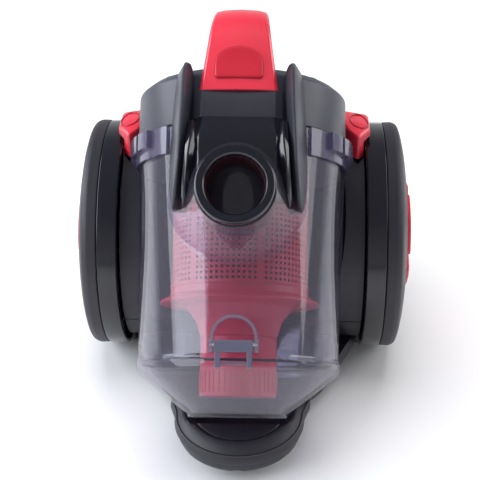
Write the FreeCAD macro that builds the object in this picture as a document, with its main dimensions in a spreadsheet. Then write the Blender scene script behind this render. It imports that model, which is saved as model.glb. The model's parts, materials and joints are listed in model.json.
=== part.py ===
"""Bagless cyclone canister vacuum cleaner, as a parametric FreeCAD document.

Millimetres, +Z up, the front of the cleaner towards -Y. The origin is on the floor, under the centre of the
cleaner's box. The dust cup leans back, so everything on it is drawn upright in the cup's own frame (cup bottom
centre at the origin, cup axis along +Z, front towards -Y) and then placed by CUP_PLACE.
"""

import FreeCAD, Part
import math
import os
import Sketcher
from FreeCAD import Placement, Rotation, Vector

doc = FreeCAD.newDocument("canister_vacuum")
sheet = doc.addObject("Spreadsheet::Sheet", "Sizes")

X, Y, Z = Vector(1, 0, 0), Vector(0, 1, 0), Vector(0, 0, 1)
HERE = Placement()


# ---------------------------------------------------------------- sizes from the sheet
class Size(float):
    """A number that remembers the sheet formula it comes from, so that a property can be bound to it."""

    def __new__(cls, value, formula):
        made = super().__new__(cls, value)
        made.formula = formula
        return made

    def __add__(self, other):
        return Size(float(self) + float(other), f"({self.formula} + {formula_of(other)})")

    def __radd__(self, other):
        return Size(float(other) + float(self), f"({formula_of(other)} + {self.formula})")

    def __sub__(self, other):
        return Size(float(self) - float(other), f"({self.formula} - {formula_of(other)})")

    def __rsub__(self, other):
        return Size(float(other) - float(self), f"({formula_of(other)} - {self.formula})")

    def __mul__(self, other):
        return Size(float(self) * float(other), f"({self.formula} * {formula_of(other)})")

    def __rmul__(self, other):
        return Size(float(other) * float(self), f"({formula_of(other)} * {self.formula})")

    def __truediv__(self, other):
        return Size(float(self) / float(other), f"({self.formula} / {formula_of(other)})")

    def __neg__(self):
        return Size(-float(self), f"(-1 * {self.formula})")


def formula_of(value):
    return value.formula if isinstance(value, Size) else f"{float(value):.6f}"


cells = 0


def size(alias, value):
    """Puts one driving dimension in the sheet and returns it as a Size."""
    global cells
    cells += 1
    sheet.set(f"A{cells}", alias.replace("_", " "))
    sheet.set(f"B{cells}", str(value))
    sheet.setAlias(f"B{cells}", alias)
    return Size(value, f"Sizes.{alias}")


# the wheels and the body between them
wheel_radius = size("wheel_radius", 98)
axle_back = size("axle_back", 48)
wheel_inside = size("wheel_inside", 100)
wheel_seam = size("wheel_seam", 17)
wheel_wall = size("wheel_wall", 3)
hub_radius = size("hub_radius", 46)
axle_radius = size("axle_radius", 5)
running_gap = size("running_gap", 0.05)
body_half_width = size("body_half_width", 99)
barrel_radius = size("barrel_radius", 90)
shell_wall = size("shell_wall", 3)
body_rear = size("body_rear", 139.3)
pan_height = size("pan_height", 14)
split_height = size("split_height", 62)
# the tray and nose in front
tray_bottom = size("tray_bottom", 12)
tray_floor = size("tray_floor", 16)
nose_front = size("nose_front", 214)
nose_radius = size("nose_radius", 52)
bumper_width = size("bumper_width", 8)
# the dust cup, in its own frame
cup_lean = size("cup_lean", 42)
cup_forward = size("cup_forward", 116)
cup_height = size("cup_height", 80)
cup_foot_radius = size("cup_foot_radius", 80)
cup_top_radius = size("cup_top_radius", 82)
cup_length = size("cup_length", 172)
cup_wall = size("cup_wall", 2.5)
channel_gap = size("channel_gap", 4)
cover_height = size("cover_height", 43)
inlet_height = size("inlet_height", 117.5)
inlet_radius = size("inlet_radius", 29)
inlet_bore = size("inlet_bore", 21.4)
flap_rim = size("flap_rim", 6)
flap_depth = size("flap_depth", 41)
flap_end_radius = size("flap_end_radius", 38)
shroud_radius = size("shroud_radius", 53)
tube_radius = size("tube_radius", 29.5)
brim_radius = size("brim_radius", 62)
# the carrying handle
handle_base = size("handle_base", 196)
handle_front = size("handle_front", 84)
handle_top = size("handle_top", 268)
handle_half_width = size("handle_half_width", 29)
handle_shell = size("handle_shell", 14)
handle_grip = size("handle_grip", 9)

CUP_TURN = Rotation(X, -float(cup_lean))
CUP_PLACE = Placement(Vector(0, -float(cup_forward), float(cup_height)), CUP_TURN)
doc.recompute()


# ---------------------------------------------------------------- helpers
def bind(thing, prop, value):
    """Sets a property, through the sheet where the value comes from it."""
    if isinstance(value, Size):
        thing.setExpression(prop, value.formula)
    else:
        setattr(thing, prop, value)


def at(x=0, y=0, z=0, turn=None):
    return Placement(Vector(float(x), float(y), float(z)), turn or Rotation())


def cylinder(name, radius, height, place=HERE):
    made = doc.addObject("Part::Cylinder", name)
    bind(made, "Radius", radius)
    bind(made, "Height", height)
    made.Placement = place
    return made


def cone(name, radius_low, radius_high, height, place=HERE):
    made = doc.addObject("Part::Cone", name)
    bind(made, "Radius1", radius_low)
    bind(made, "Radius2", radius_high)
    bind(made, "Height", height)
    made.Placement = place
    return made


def box(name, low, high):
    """A box between two corners."""
    made = doc.addObject("Part::Box", name)
    for prop, a, b in zip(("Length", "Width", "Height"), low, high):
        bind(made, prop, b - a)
    made.Placement = at(*low)
    return made


def cut(name, base, *tools):
    made = base
    for number, tool in enumerate(tools):
        step = doc.addObject("Part::Cut", f"{name}_cut{number}")
        step.Base, step.Tool = made, tool
        made = step
    return made


def fuse(name, *things):
    made = doc.addObject("Part::MultiFuse", name)
    made.Shapes = list(things)
    return made


def common(name, *things):
    made = doc.addObject("Part::MultiCommon", name)
    made.Shapes = list(things)
    return made


def sketch_in(body, name, plane, outline):
    """A closed sketch in a body. Each item is a corner (x, y), or (mid, corner) for an arc through mid."""
    sketch = body.newObject("Sketcher::SketchObject", name)
    origin = next(o for o in body.Origin.OriginFeatures if o.Role == plane)
    sketch.AttachmentSupport = [(origin, "")]
    sketch.MapMode = "FlatFace"
    corners = [item[1] if isinstance(item[0], tuple) else item for item in outline]
    ends = []
    for number, item in enumerate(outline):
        start, end = (Vector(float(c[0]), float(c[1])) for c in (corners[number - 1], corners[number]))
        if isinstance(item[0], tuple):
            middle = Vector(float(item[0][0]), float(item[0][1]))
            sketch.addGeometry(Part.Arc(start, middle, end), False)
            anticlockwise = (middle - start).cross(end - middle).z > 0
            ends.append((1, 2) if anticlockwise else (2, 1))
            centre, across = sketch.Geometry[number].Center, end - start
            kind, value = ("DistanceY", centre.y) if abs(across.x) > abs(across.y) else ("DistanceX", centre.x)
            sketch.addConstraint(Sketcher.Constraint(kind, -1, 1, number, 3, value))
        else:
            sketch.addGeometry(Part.LineSegment(start, end), False)
            ends.append((1, 2))
    for number, corner in enumerate(corners):
        following = (number + 1) % len(corners)
        sketch.addConstraint(
            Sketcher.Constraint("Coincident", number, ends[number][1], following, ends[following][0]))
        for kind, value in (("DistanceX", corner[0]), ("DistanceY", corner[1])):
            fixed = Sketcher.Constraint(kind, -1, 1, number, ends[number][1], float(value))
            index = sketch.addConstraint(fixed)
            if isinstance(value, Size):
                sketch.setExpression(f"Constraints[{index}]", value.formula)
    return sketch


def revolved(name, outline, place=HERE):
    """A PartDesign body: the outline of (radius, height) corners turned round +Z."""
    body = doc.addObject("PartDesign::Body", name)
    sketch = sketch_in(body, f"{name}_outline", "XZ_Plane", outline)
    turn = body.newObject("PartDesign::Revolution", f"{name}_turn")
    turn.Profile = sketch
    turn.ReferenceAxis = (sketch, ["V_Axis"])
    turn.Angle = 360
    body.Placement = place
    return body


def padded(name, outline, thickness, plane="YZ_Plane", middle=True, place=HERE):
    """A PartDesign body: the outline padded square to its plane, half each way if middle."""
    body = doc.addObject("PartDesign::Body", name)
    sketch = sketch_in(body, f"{name}_outline", plane, outline)
    pad = body.newObject("PartDesign::Pad", f"{name}_pad")
    pad.Profile = sketch
    bind(pad, "Length", thickness)
    pad.Midplane = middle
    body.Placement = place
    return body


parts = {}


def keep(label, thing, place=None):
    """Registers a finished sub-part under the name that its file and node have."""
    if place is not None:
        thing.Placement = place.multiply(thing.Placement)
    thing.Label = label
    parts[label] = thing
    return thing


# ---------------------------------------------------------------- the body between the wheels
def wheel_place(side, out=0):
    """The frame of a wheel: its axle along +Z, outwards, from the wheel's inside face."""
    return Placement(Vector(side * (float(wheel_inside) + out), float(axle_back), float(wheel_radius)),
                     Rotation(Y, side * 90))


def hull(name, wall, half_width):
    """The body between the wheels seen from the side: flat pan, upright back, round barrel."""
    radius = barrel_radius - wall
    top = wheel_radius + radius
    rear = axle_back + body_rear - wall
    low = pan_height + wall
    slope = (axle_back + radius * 0.4695, wheel_radius + radius * 0.8829)
    foot = wheel_radius - radius * math.sqrt(1 - (48 / 90) ** 2)
    return padded(name, [
        (wall, low), (rear - 18, low),
        ((rear - 5.3, low + 5.3), (rear, low + 18)),
        (rear, wheel_radius + 20),
        ((rear - 3.4, wheel_radius + 33.5), (rear - 14, wheel_radius + 42.5)),
        slope,
        ((axle_back, top), (axle_back - radius, wheel_radius)),
        ((axle_back - radius * 0.89, wheel_radius - radius * 0.456), (axle_back - radius * 0.5333, foot)),
    ], half_width * 2)


def channel(name, spare):
    """What the dust cup needs kept free, with some room round it."""
    room = cup_top_radius + channel_gap + spare
    low = -flap_depth - channel_gap - spare
    round_room = revolved(f"{name}_round", [
        (0, low), (flap_end_radius + 4 + spare, low), (room, -flap_rim - spare / 2), (room, 260), (0, 260)], CUP_PLACE)
    front_room = box(f"{name}_front", (-room, -250, -flap_rim), (room, 0, 260))
    front_room.Placement = CUP_PLACE.multiply(front_room.Placement)
    both = fuse(f"{name}_both", round_room, front_room)
    above_floor = box(f"{name}_above", (-150, -300, tray_floor + 1 - spare / 3), (150, 300, 400))
    return common(name, both, above_floor)


def tray_plan(inset):
    """The tray in front seen from above, narrowing from the wheels to the round nose."""
    middle = axle_back - nose_front + nose_radius
    reach = nose_radius - inset
    side = [(body_half_width - inset, 6), (body_half_width - inset, -2), (80 - inset, -47), (70 - inset, -67),
            (58 - inset, -82), (56.5 - inset, -100), (reach, middle)]
    other = [(-x, y) for x, y in reversed(side)]
    return side + [((0, middle - reach), other[0])] + other[1:]


nose_middle = axle_back - nose_front + nose_radius
outer_hull = hull("outer_hull", 0 * shell_wall, body_half_width)
inner_hull = hull("inner_hull", shell_wall, body_half_width - shell_wall)
cup_room = channel("cup_room", 0)
cup_wall_room = channel("cup_wall_room", shell_wall)
hollow = cut("hollow", inner_hull, cup_wall_room)

tray_block = padded("tray_block", tray_plan(0), 50, "XY_Plane", False, at(z=tray_bottom))
tray_side = padded("tray_side", [(-180, 10), (8, 10), (8, 62), (-28, 62), (-47, 36), (-100, 30), (-180, 30)], 220)
tray = common("tray", tray_block, tray_side)
below_split = box("below_split", (-150, -200, 0), (150, 200, split_height))
lower_hull = common("lower_hull", outer_hull, below_split)

caster_y = float(axle_back) - 193
caster_well = cylinder("caster_well", 18, 12.6, at(0, caster_y, 11))
bumper_rim = cut("bumper_rim",
                 padded("bumper_out", tray_plan(0), 17, "XY_Plane", False, at(z=18)),
                 padded("bumper_in", tray_plan(bumper_width), 40, "XY_Plane", False, at(z=10)))
bumper_trim = padded("bumper_trim", [(-180, 18), (-84, 18), (-90, 25), (-118, 34), (-124, 35), (-180, 35)], 200)
bumper = cut("bumper", common("bumper_ring", bumper_rim, bumper_trim), cup_room, caster_well)
nose_dish = cone("nose_dish", 38, 43.5, 4, at(0, nose_middle, 30.4))
hinge_room = box("hinge_room", (-25, 68, -9), (25, 90, 6))
hinge_room.Placement = CUP_PLACE.multiply(hinge_room.Placement)
swivel_bore = cylinder("swivel_bore", 4.1, 6.4, at(0, caster_y, 22))
corners = [(91, 176), (-91, 176), (89, 20), (-89, 20)]
pan_bosses = [cylinder(f"pan_boss{n}", 5, split_height - 14, at(x, y, 14)) for n, (x, y) in enumerate(corners)]
pan_bores = [cylinder(f"pan_bore{n}", 2, split_height, at(x, y, 10)) for n, (x, y) in enumerate(corners)]
motor_cradle = box("motor_cradle", (-60, 72, 15), (20, 150, 46))
motor_room = cylinder("motor_room", 46, 110, Placement(Vector(-72, 110, 78), Rotation(Y, 90)))
cradle = cut("cradle", motor_cradle, motor_room)
pan_shell = cut("pan_shell", fuse("pan_mass", lower_hull, tray), cup_room, hollow, bumper)
pan_whole = fuse("pan_whole", pan_shell, cradle, *pan_bosses)
base = cut("base", pan_whole, caster_well, nose_dish, hinge_room, swivel_bore, *pan_bores)
keep("base_housing", base)
keep("nose_bumper", bumper)

# the upper housing with axle bosses, pedal sockets, grille opening and cord outlet
above_split = box("above_split", (-150, -200, split_height), (150, 200, 400))
upper_hull = common("upper_hull", outer_hull, above_split)
upper_shell = cut("upper_shell", upper_hull, cup_room, hollow)
axle_bosses = [cylinder(f"axle_boss{n}", 10, 14, wheel_place(side, -17)) for n, side in enumerate((1, -1))]
axle_bores = [cylinder(f"axle_bore{n}", axle_radius, 30, wheel_place(side, -25)) for n, side in enumerate((1, -1))]

PEDAL = [(81, 62), (104, 62), (104, 37), (94, 21), (86, 30), (81, 43)]


def pedal_plan(grow):
    """The pedal seen from above on the right side, made larger all round by grow."""
    middle = (93, 42)
    return [(x + math.copysign(grow, x - middle[0]), y + math.copysign(grow, y - middle[1])) for x, y in PEDAL]


def mirrored(outline):
    return [(-x, y) for x, y in reversed(outline)]


pedal_bottom = size("pedal_bottom", 180)
pedal_top = size("pedal_top", 211)
sockets, blocks = [], []
inside_hull = common("inside_hull", outer_hull, box("pedal_zone", (-96.5, 10, 160), (96.5, 72, 200)))
for name, plan, side in (("right", pedal_plan(1.2), 1), ("left", mirrored(pedal_plan(1.2)), -1)):
    sockets.append(padded(f"socket_{name}", plan, 60, "XY_Plane", False, at(z=168)))
    low, high = sorted((side * 79, side * 97))
    blocks.append(common(f"pedal_block_{name}", inside_hull, box(f"block_{name}", (low, 12, 160), (high, 68, 200))))
rear = axle_back + body_rear
grille_hole = box("grille_hole", (-46, rear - 10, 68), (46, rear + 10, 117))
cord_hole = cylinder("cord_hole", 9, 20, Placement(Vector(66, float(rear) - 12, 92), Rotation(X, -90)))
posts = [cylinder(f"post{n}", 5, 18, at(x, y, split_height)) for n, (x, y) in enumerate(corners)]
webs = [box(f"post_web{n}", (min(x, x / abs(x) * 97), y - 1.5, split_height),
            (max(x, x / abs(x) * 97), y + 1.5, split_height + 18)) for n, (x, y) in enumerate(corners)]
post_bores = [cylinder(f"post_bore{n}", 2, 30, at(x, y, 40)) for n, (x, y) in enumerate(corners)]
upper_whole = fuse("upper_whole", upper_shell, *axle_bosses, *blocks, *posts, *webs)
blocks_room = channel("blocks_room", 0)
upper = cut("upper", upper_whole, blocks_room, *axle_bores, *sockets, *post_bores, grille_hole, cord_hole)
keep("upper_housing", upper)


# ---------------------------------------------------------------- wheels
SIDES = (("left", -1), ("right", 1))
seam = wheel_seam
for name, side in SIDES:
    place = wheel_place(side)
    keep(f"{name}_wheel_shell", revolved(f"{name}_shell", [
        (axle_radius + running_gap, 0), (11, 0), (11, seam - 4), (wheel_radius - wheel_wall, seam - 4),
        (wheel_radius - wheel_wall, 0), (wheel_radius - 1.5, 0), (wheel_radius, 1.5), (wheel_radius, seam),
        (axle_radius + running_gap, seam)], place))
    keep(f"{name}_wheel_cover", revolved(f"{name}_cover", [
        (wheel_radius, seam), (wheel_radius, seam + 8),
        ((wheel_radius - 2, seam + 12), (wheel_radius - 8, seam + 14)),
        ((wheel_radius - 28, seam + 18.3), (hub_radius, seam + 20)),
        (hub_radius, seam + 18), (0, seam + 18), (0, seam + 15), (hub_radius + 2, seam + 15),
        ((wheel_radius - 28, seam + 14), (wheel_radius - 10, seam + 10)),
        (wheel_radius - wheel_wall, seam + 7), (wheel_radius - wheel_wall, seam)], place))
    pad = revolved(f"{name}_trim_disc", [
        (0, seam + 18), (hub_radius - 0.5, seam + 18), (hub_radius - 0.5, seam + 21.5),
        ((hub_radius - 18, seam + 23.8), (10, seam + 24.5)), (0, seam + 24.5)])
    channels = [box(f"{name}_channel_{n}", (-a, -b, seam + 20.5), (a, b, seam + 40))
                for n, (a, b) in enumerate(((7.5, 60), (60, 7.5)))]
    keep(f"{name}_hub_trim", cut(f"{name}_trim", pad, *channels), place)
pins = [cylinder(f"{name}_axle", axle_radius, 44, wheel_place(side, -22)) for name, side in SIDES]
keep("axle_pins", fuse("axle_pins_both", *pins))
clips = [revolved(f"{name}_clip", [(axle_radius, seam + 1), (9, seam + 1), (9, seam + 2.5),
                                   (axle_radius, seam + 2.5)], wheel_place(side)) for name, side in SIDES]
keep("axle_clips", fuse("axle_clips_both", *clips))

# the caster under the nose: its post turns in the tray, the wheel trails behind
fork_place = at(0, caster_y, 0)
fork_plate = cylinder("fork_plate", 12, 2, at(z=21))
fork_post = cylinder("fork_post", 4, 6.6, at(z=21))
fork_legs = [padded(f"fork_leg{n}", [(0, 6.5), (11, 6.5), (10, 22), (-6, 22)], 2, "YZ_Plane", True, at(x))
             for n, x in enumerate((-7.5, 7.5))]
pin_hole = cylinder("caster_pin_hole", 1.5, 40, Placement(Vector(-20, 6, 10), Rotation(Y, 90)))
keep("caster_fork", cut("fork_bored", fuse("fork", fork_plate, fork_post, *fork_legs), pin_hole), fork_place)
keep("caster_pin", cylinder("caster_axle", 1.5, 18, Placement(Vector(-9, 6, 10), Rotation(Y, 90))), fork_place)
caster_tyre = revolved("caster_tyre", [(1.55, 0), (8.5, 0), (10, 1.5), (10, 10.5), (8.5, 12), (1.55, 12)],
                       Placement(Vector(-6, 6, 10), Rotation(Y, 90)))
keep("caster_wheel", caster_tyre, fork_place)

# ---------------------------------------------------------------- pedals and their springs
pedal_clear = cylinder("pedal_clear", 105.5, 400, Placement(Vector(-200, 48, 98), Rotation(Y, 90)))
inner_zone = box("inner_zone", (-99.4, -100, 100), (99.4, 200, 300))
pedal_wheel_gap = cut("pedal_wheel_gap", pedal_clear, inner_zone)
pedal_side = padded("pedal_side", [(10, 180), (70, 180), (70, 209), (60, 211), (30, 211), (10, 204)], 260)
for name, plan, side in (("rewind", PEDAL, 1), ("power", mirrored(PEDAL), -1)):
    block = padded(f"{name}_block", plan, pedal_top - pedal_bottom + 3, "XY_Plane", False, at(z=pedal_bottom))
    well = cylinder(f"{name}_spring_well", 4.6, 8, at(side * 89, 48, 180))
    pressed = common(f"{name}_press", block, pedal_side)
    keep(f"{name}_pedal", cut(f"{name}_press_cut", pressed, pedal_wheel_gap, well))
    outer = cylinder(f"{name}_spring_out", 4, 20, at(side * 89, 48, 168))
    keep(f"{name}_pedal_spring", cut(f"{name}_spring", outer, cylinder(f"{name}_spring_in", 3, 20,
                                                                      at(side * 89, 48, 168))))

# ---------------------------------------------------------------- the dust cup
foot, top = cup_foot_radius, cup_top_radius
cup_mass = cone("cup_mass", foot, top, cup_length)
cup_inside = cone("cup_inside", foot - cup_wall, top - cup_wall, cup_length)
towards_front = Rotation(X, 90)
boss = cone("inlet_boss", 44, 31, 46, Placement(Vector(0, -58, float(inlet_height)), towards_front))
lugs = []
for name, start in (("right", -39), ("left", 172)):
    sector = cylinder(f"lug_{name}", 88, 14, Placement(Vector(0, 0, 158), Rotation(Z, start)))
    sector.Angle = 47
    lugs.append(sector)
slots = []
for n, angle in enumerate((-24, 204)):
    slot = box(f"lug_slot{n}", (82.5, -3.5, 150), (100, 3.5, 180))
    slot.Placement = Placement(Vector(), Rotation(Z, angle)).multiply(slot.Placement)
    slots.append(slot)
arch = padded("latch_arch", [
    (-16.7, 3), (-14.7, 3), (-14.7, 13), ((0, 27.7), (14.7, 13)), (14.7, 3), (16.7, 3), (16.7, 13),
    ((0, 29.7), (-16.7, 13))], 14, "XZ_Plane", False, at(y=-74))
knuckles = [cylinder(f"cup_knuckle{n}", 3.5, 9, Placement(Vector(x, 84, -2), Rotation(Y, 90)))
            for n, x in enumerate((-21.5, 12.5))]
arms = [box(f"cup_knuckle_arm{n}", (x, 76, 0), (x + 9, 86, 6)) for n, x in enumerate((-21.5, 12.5))]
pin_space = cylinder("flap_pin_space", 1.5, 60, Placement(Vector(-30, 84, -2), Rotation(Y, 90)))
below_rim = cylinder("below_rim", 81.2, 7, at(z=-7))
latch_pin_space = cylinder("latch_pin_space", 1.5, 60, Placement(Vector(-30, -87, 9), Rotation(Y, 90)))
duct_space = cylinder("duct_space", inlet_radius, 80, Placement(Vector(0, -50, float(inlet_height)), towards_front))
cup_solid = fuse("cup_solid", cup_mass, boss, arch, *lugs, *knuckles, *arms)
keep("clear_cup", cut("cup", cup_solid, cup_inside, *slots, pin_space, below_rim, latch_pin_space, duct_space),
     CUP_PLACE)

duct_out = cylinder("duct_out", inlet_radius, 53, Placement(Vector(0, -62, float(inlet_height)), towards_front))
duct_in = cylinder("duct_in", inlet_bore, 53, Placement(Vector(0, -62, float(inlet_height)), towards_front))
keep("inlet_duct", cut("duct", duct_out, duct_in), CUP_PLACE)

# the cover on top of the cup, with its front facia, cowl and two upright fins
seat = cup_length + 0.5
cover_top = cup_length + cover_height
rim_turn = ((top - 2.3, cover_top - 2.5), (top - 10, cover_top))
cover = revolved("cover", [
    (top, seat), (top, cover_top - 8), rim_turn, (0, cover_top), (0, cover_top - 3), (top - 11, cover_top - 3),
    (top - 5.5, cover_top - 9), (top - 5.5, seat - 8), (top - 2.8, seat - 8), (top - 2.8, seat)])
cover_mass = revolved("cover_mass", [(top, seat), (top, cover_top - 8), rim_turn, (0, cover_top), (0, seat)])
facia_block = box("facia_block", (-31, -84.5, seat), (31, -60, 196))
keep("front_panel", cut("facia", facia_block, cover_mass), CUP_PLACE)
cup_skin = cone("cup_skin", foot + 0.2, top + 0.2, cup_length)
boss_skin = cone("boss_skin", 44.4, 31.4, 46, Placement(Vector(0, -58, float(inlet_height)), towards_front))
duct_skin = cylinder("duct_skin", inlet_radius, 80, Placement(Vector(0, -50, float(inlet_height)), towards_front))
cowl_block = padded("cowl_block", [
    (-70, 112), (-90, 118), (-95, 130), (-95, 146), (-88, 170), (-84.5, 172.5), (-70, 172.5)], 66)
seam_gap = cylinder("seam_gap", top + 0.2, 10, at(z=cup_length - 4))
keep("inlet_cowl", cut("cowl", cowl_block, cup_skin, boss_skin, duct_skin, cover_mass, seam_gap), CUP_PLACE)
fin_side = padded("fin_side", [
    (-60, 214), (-74, 214), (-94, 203), (-96, 145), (-90, 122), (-80, 108), (-60, 108)], 240)
fins = []
for name, mirror in (("right", 1), ("left", -1)):
    section = [(34 * mirror, -72), (37 * mirror, -96), (40 * mirror, -95), (53 * mirror, -60)]
    blade = padded(f"fin_{name}", section, 112, "XY_Plane", False, at(z=105))
    fins.append(common(f"fin_shaped_{name}", blade, fin_side))
fins_both = fuse("fins_both", *fins)
keep("cover_fins", cut("fins", fins_both, cup_skin, boss_skin, cover_mass, cowl_block, seam_gap), CUP_PLACE)

# ---------------------------------------------------------------- handle and release button
def handle_path(depth):
    """One long line of the handle seen from the side, depth in from its outside: front foot to rear foot."""
    front, high = handle_front - depth, handle_top - depth
    return [(-front, handle_base + depth * 0.9), (4 - front, 228 - depth * 0.15),
            ((depth * 0.72 - 68, 256 - depth * 0.8), (-32 + depth * 0.12, high)), (30 - depth * 0.06, high),
            ((58 - depth * 0.74, 258 - depth * 0.78), (68 - depth, 236 - depth * 0.18)), (70 - depth, 213)]


def between(outside, inside):
    """A closed outline from one handle path out and another one back."""
    back = []
    corners = [item[1] if isinstance(item[0], tuple) else item for item in inside]
    for number in range(len(inside) - 1, -1, -1):
        after = inside[number + 1] if number + 1 < len(inside) else None
        arced = after is not None and isinstance(after[0], tuple)
        back.append((after[0], corners[number]) if arced else corners[number])
    return outside + back


inner = handle_shell + handle_grip
widths = padded("handle_widths", [
    (-handle_half_width, 190), (handle_half_width, 190), (21, 258), (20.5, 276), (-20.5, 276), (-21, 258)],
    200, "XZ_Plane", True)
arch_low, arch_side, arch_top = 203, 215, 228


def arch_outline(half, low, high):
    return [(-half, low), (half, low), (half, arch_side), ((0, high), (-half, arch_side))]


shell_bar = padded("handle_shell_bar", between(handle_path(0), handle_path(handle_shell)), 70)
button_room = padded("button_room", arch_outline(17.6, arch_low - 0.6, arch_top + 0.6), 30, "XZ_Plane", False,
                     at(y=-71.5))
shell_cut = cut("shell_cut", common("handle_shell_wide", shell_bar, widths), cover_mass, button_room, facia_block)
keep("handle_shell", shell_cut, CUP_PLACE)
keep("cup_cover", cut("cover_cut", cover, button_room), CUP_PLACE)
grip_bar = padded("handle_grip_bar", between(handle_path(handle_shell), handle_path(inner)), 70)
grip_wide = common("handle_grip_wide", grip_bar, widths)
keep("handle_grip", cut("grip_cut", grip_wide, cover_mass, button_room), CUP_PLACE)
button_block = padded("button_block", arch_outline(17, arch_low, arch_top), 30, "XZ_Plane", False, at(y=-75.5))
front_face = padded("button_face", [(-70, 190), (-85.3, 190), (-80.7, 236), (-70, 236)], 60)
keep("release_button", common("button", button_block, front_face), CUP_PLACE)

# ---------------------------------------------------------------- cyclone inside the cup
keep("cyclone_shroud", revolved("shroud", [
    (shroud_radius - 2, 59), (shroud_radius, 59), (shroud_radius, 148), (shroud_radius - 2, 148)]), CUP_PLACE)
keep("shroud_skirt", revolved("skirt", [
    (tube_radius, 20), ((tube_radius + 8, 38), (shroud_radius - 2, 49)), (brim_radius - 0.6, 45),
    (brim_radius, 46), (shroud_radius + 1.5, 51), (shroud_radius, 59), (shroud_radius - 2, 59),
    (shroud_radius - 2, 52), ((tube_radius + 5, 40), (tube_radius - 2, 20))]), CUP_PLACE)
keep("dust_tube", revolved("tube", [
    (tube_radius - 2, -25), (tube_radius, -25), (tube_radius, 20), (tube_radius - 2, 20)]), CUP_PLACE)
keep("separator_plate", revolved("separator", [
    (30, 148), (shroud_radius, 148), (top - 4, 150), (top - 4, 153), (30, 153)]), CUP_PLACE)
keep("outlet_filter", revolved("filter_disc", [(30, 156), (70, 156), (70, 174), (30, 174)]), CUP_PLACE)
keep("filter_tray", revolved("filter_seat", [
    (24, 153), (74, 153), (74, 176), (72, 176), (72, 156), (29, 156), (29, 176), (24, 176)]), CUP_PLACE)

# ---------------------------------------------------------------- the hinged bottom of the cup and its latch
flap = revolved("flap_bowl", [
    (0, -flap_depth), (flap_end_radius + 2, -flap_depth), (flap_end_radius + 2, 3 - flap_depth),
    (foot + 1, -flap_rim), (foot + 1, 0), (foot - 1.5, 0), (foot - 1.5, -flap_rim + 1),
    (flap_end_radius, 5.5 - flap_depth), (flap_end_radius - 1, 2.5 - flap_depth), (0, 2.5 - flap_depth)])
flap_knuckle = cylinder("flap_knuckle", 3.5, 24, Placement(Vector(-12, 84, -2), Rotation(Y, 90)))
flap_arm = box("flap_arm", (-12, 79.8, -5.5), (12, 84, -2))
flap_catch = box("flap_catch", (-13, -84.6, -5.6), (13, -80, -3.2))
flap_bore = cylinder("flap_bore", 1.5 + running_gap, 60, Placement(Vector(-30, 84, -2), Rotation(Y, 90)))
flap_whole = fuse("flap_whole", flap, flap_knuckle, flap_arm, flap_catch)
keep("dust_flap", cut("flap_bored", flap_whole, flap_bore), CUP_PLACE)
keep("flap_gasket", revolved("gasket", [(foot - 4.2, -2), (foot - 1.5, -2), (foot - 1.5, 0), (foot - 4.2, 0)]),
     CUP_PLACE)
keep("flap_hinge_pin", cylinder("flap_pin", 1.5, 43, Placement(Vector(-21.5, 84, -2), Rotation(Y, 90))), CUP_PLACE)
latch_plate = box("latch_plate", (-14, -88.5, 3.6), (14, -85, 11.5))
latch_eye = cylinder("latch_eye", 3, 28, Placement(Vector(-14, -87, 9), Rotation(Y, 90)))
prong = [(-88.5, 4.5), (-88.5, -8.2), (-84.9, -8.2), (-84.9, -6.2), (-86, -5.2), (-86, 4.5)]
prongs = [padded(f"latch_prong{n}", prong, 3.5, "YZ_Plane", True, at(x)) for n, x in enumerate((-11, 11))]
latch_bore = cylinder("latch_bore", 1.5 + running_gap, 60, Placement(Vector(-30, -87, 9), Rotation(Y, 90)))
latch_whole = fuse("latch_whole", latch_plate, latch_eye, *prongs)
keep("flap_latch", cut("latch", latch_whole, latch_bore), CUP_PLACE)
keep("latch_pin", cylinder("latch_axle", 1.5, 33.4, Placement(Vector(-16.7, -87, 9), Rotation(Y, 90))), CUP_PLACE)

# ---------------------------------------------------------------- inside the body: motor, filters, reel, switch
motor_place = Placement(Vector(-70, 110, 78), Rotation(Y, 90))
keep("motor_can", revolved("can", [(20, 0), (46, 0), (46, 50), (43, 50), (43, 3), (20, 3)], motor_place))
keep("motor_stator", revolved("stator", [
    (15, 50), (46, 50), (46, 54), (38, 54), (38, 96), (4.05, 96), (4.05, 92), (22, 92), (22, 54), (15, 54)],
    motor_place))
keep("motor_rotor", revolved("rotor", [
    (0, 6), (4, 6), (4, 58), (20.5, 58), (20.5, 88), (4, 88), (4, 98), (0, 98)], motor_place))
impeller_disc = revolved("impeller_disc", [(4, 8), (12, 8), (16, 24), (40, 26), (40, 28), (4, 28)])
blades = []
for n in range(9):
    blade = box(f"impeller_blade{n}", (13, -0.8, 12), (40, 0.8, 27))
    blade.Placement = Placement(Vector(), Rotation(Z, n * 40)).multiply(blade.Placement)
    blades.append(blade)
keep("impeller", fuse("impeller_whole", impeller_disc, *blades), motor_place)
keep("motor_seal", revolved("seal", [(22, -4), (34, -4), (34, 0), (22, 0)]), motor_place)
keep("motor_mount", revolved("mount", [(10, 96), (26, 96), (26, 102), (10, 102)]), motor_place)
filter_frame = cut("filter_frame_whole", box("filter_frame_out", (-64, 34, 17), (24, 58, 92)),
                   box("filter_frame_in", (-60, 30, 22), (20, 60, 88)))
keep("filter_frame", filter_frame)
keep("motor_filter", box("motor_foam", (-60, 38, 22), (20, 54, 88)))
keep("exhaust_filter", box("exhaust_pleats", (-42, rear - 16, 72), (42, rear - 4, 113)))
slats = [box(f"grille_gap{n}", (-40, rear - 9, 73 + 5 * n), (40, rear + 6, 76 + 5 * n)) for n in range(8)]
keep("exhaust_grille", cut("grille", box("grille_plate", (-46, rear - shell_wall, 68), (46, rear, 117)), *slats))
reel_place = Placement(Vector(37, 108, 80), Rotation(Y, 90))
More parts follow.
